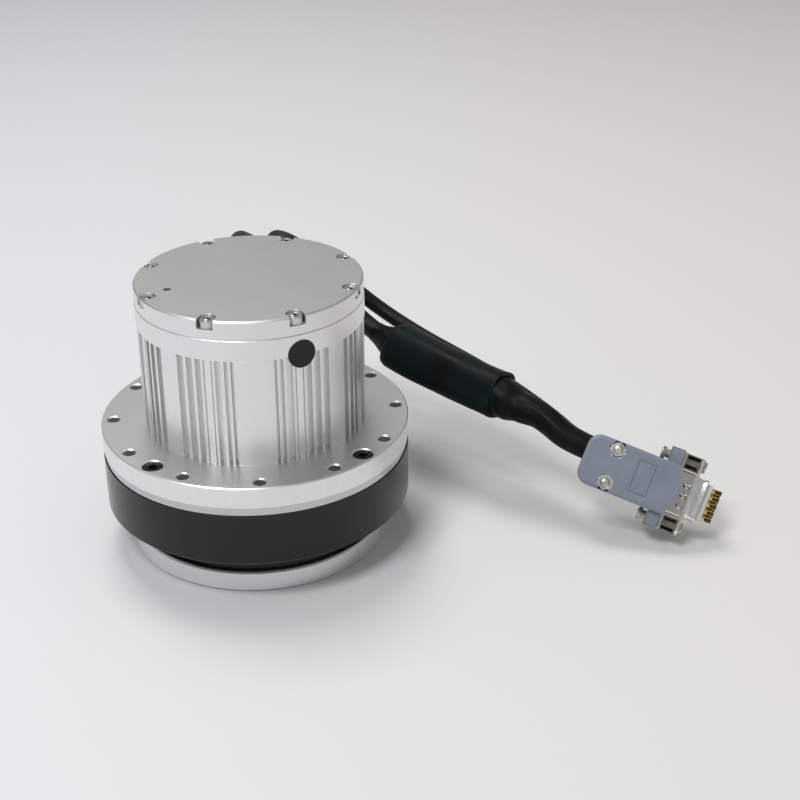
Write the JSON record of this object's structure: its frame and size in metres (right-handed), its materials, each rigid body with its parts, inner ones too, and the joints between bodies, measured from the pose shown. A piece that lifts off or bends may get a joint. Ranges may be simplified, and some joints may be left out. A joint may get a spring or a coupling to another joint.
{
  "type": "robot joint actuator",
  "caption": "Strain-wave rotary joint actuator with a finned motor housing, crossed roller output flange, mounting flange and two leads ending in a screwed D-sub plug.",
  "frame": {"origin": "centre of the output flange's mounting face, which is also the bottom of the part", "axes": "+Z along the output axis from the output flange to the rear cover; +Y towards the lead outlets; +X to the side the leads run to"},
  "size_m": [0.2315, 0.1452, 0.1033],
  "materials": {
    "grey_anodised": "bead-blasted grey anodised",
    "silver_anodised": "clear anodised, extruded fins",
    "machined_aluminium": "turned",
    "polished_steel": "polished",
    "black_anodised": "satin black anodised",
    "bearing_steel": "ground",
    "black_steel_screws": "black oxide",
    "stainless_screws": "stainless",
    "black_rubber": "matte",
    "wave_plug_steel": "turned",
    "stator_steel": "laminated",
    "copper": "enamelled copper wire",
    "magnet_nickel": "nickel plated",
    "circuit_board": "solder mask",
    "component_black": "moulded epoxy",
    "brass_standoff": "turned brass",
    "black_label": "bare printed film",
    "lead_jacket": "smooth flexible jacket",
    "shrink_sleeve": "heat-shrink, semi-gloss",
    "hood_plastic": "moulded, fine texture",
    "nickel_hardware": "nickel plated",
    "tinned_shell": "tin plated",
    "insulator_black": "moulded",
    "gold_contacts": "gold flashed"
  },
  "bodies": {
    "housing": {"board_screws": "black_steel_screws", "board_standoffs": "brass_standoff", "bracket_screws": "nickel_hardware", "bracket_standoffs": "nickel_hardware", "cable_grommets": "black_rubber", "case_o_ring": "black_rubber", "circular_spline": "polished_steel", "cover_screws": "stainless_screws", "cross_roller_outer_ring": "bearing_steel", "drive_board": "circuit_board", "drive_components": "component_black", "drive_housing": "silver_anodised", "ear_clips": "nickel_hardware", "encoder_board": "circuit_board", "encoder_read_head": "component_black", "gear_case": "black_anodised", "hood_back_shell": "hood_plastic", "hood_front_shell": "hood_plastic", "hood_nuts": "nickel_hardware", "hood_screws": "nickel_hardware", "inner_sleeve": "shrink_sleeve", "inspection_label": "black_label", "joining_screws": "black_steel_screws", "motor_housing": "silver_anodised", "output_seal": "black_rubber", "plug_insulator": "insulator_black", "plug_pins": "gold_contacts", "plug_shell": "tinned_shell", "power_lead": "lead_jacket", "rear_cover": "grey_anodised", "shaft_bearing_outer_rings": "bearing_steel", "shaft_seal": "black_rubber", "signal_lead": "lead_jacket", "socket_contacts": "gold_contacts", "socket_insulator": "insulator_black", "socket_shell": "tinned_shell", "splice_sleeve": "shrink_sleeve", "stator_core": "stator_steel", "stator_windings": "copper"},
    "output": {"output_flange": "machined_aluminium", "cross_roller_inner_ring": "bearing_steel", "cross_rollers": "bearing_steel", "bearing_lock_nut": "bearing_steel", "flexspline": "bearing_steel", "flexspline_clamp_ring": "bearing_steel", "flexspline_bolts": "black_steel_screws", "wave_outer_race": "bearing_steel"},
    "rotor": {"rotor_shaft": "bearing_steel", "rotor_core": "bearing_steel", "rotor_magnets": "magnet_nickel", "wave_generator_plug": "wave_plug_steel", "wave_inner_race": "bearing_steel", "wave_balls": "bearing_steel", "shaft_bearing_inner_rings": "bearing_steel", "shaft_bearing_balls": "bearing_steel", "encoder_magnet": "magnet_nickel", "wave_plug_screw": "black_steel_screws"},
    "upper_jackscrew": {"upper_jackscrew": "nickel_hardware"},
    "lower_jackscrew": {"lower_jackscrew": "nickel_hardware"}
  },
  "joints": [
    {"name": "output_spin", "type": "hinge", "parent": "housing", "child": "output", "pos_m": [0, 0, 0.004], "axis": [0, 0, 1], "continuous": true},
    {"name": "rotor_spin", "type": "hinge", "parent": "housing", "child": "rotor", "pos_m": [0, 0, 0.06], "axis": [0, 0, 1], "continuous": true},
    {"name": "upper_jackscrew_turn", "type": "hinge", "parent": "housing", "child": "upper_jackscrew", "pos_m": [0.15325, -0.01835, 0.03109], "axis": [0.8774, -0.4017, -0.2622], "continuous": true},
    {"name": "lower_jackscrew_turn", "type": "hinge", "parent": "housing", "child": "lower_jackscrew", "pos_m": [0.14276, -0.02779, 0.01045], "axis": [0.8774, -0.4017, -0.2622], "continuous": true}
  ],
  "couplings": [
    {"joint": "rotor_spin", "follows": "output_spin", "ratio": -50}
  ]
}
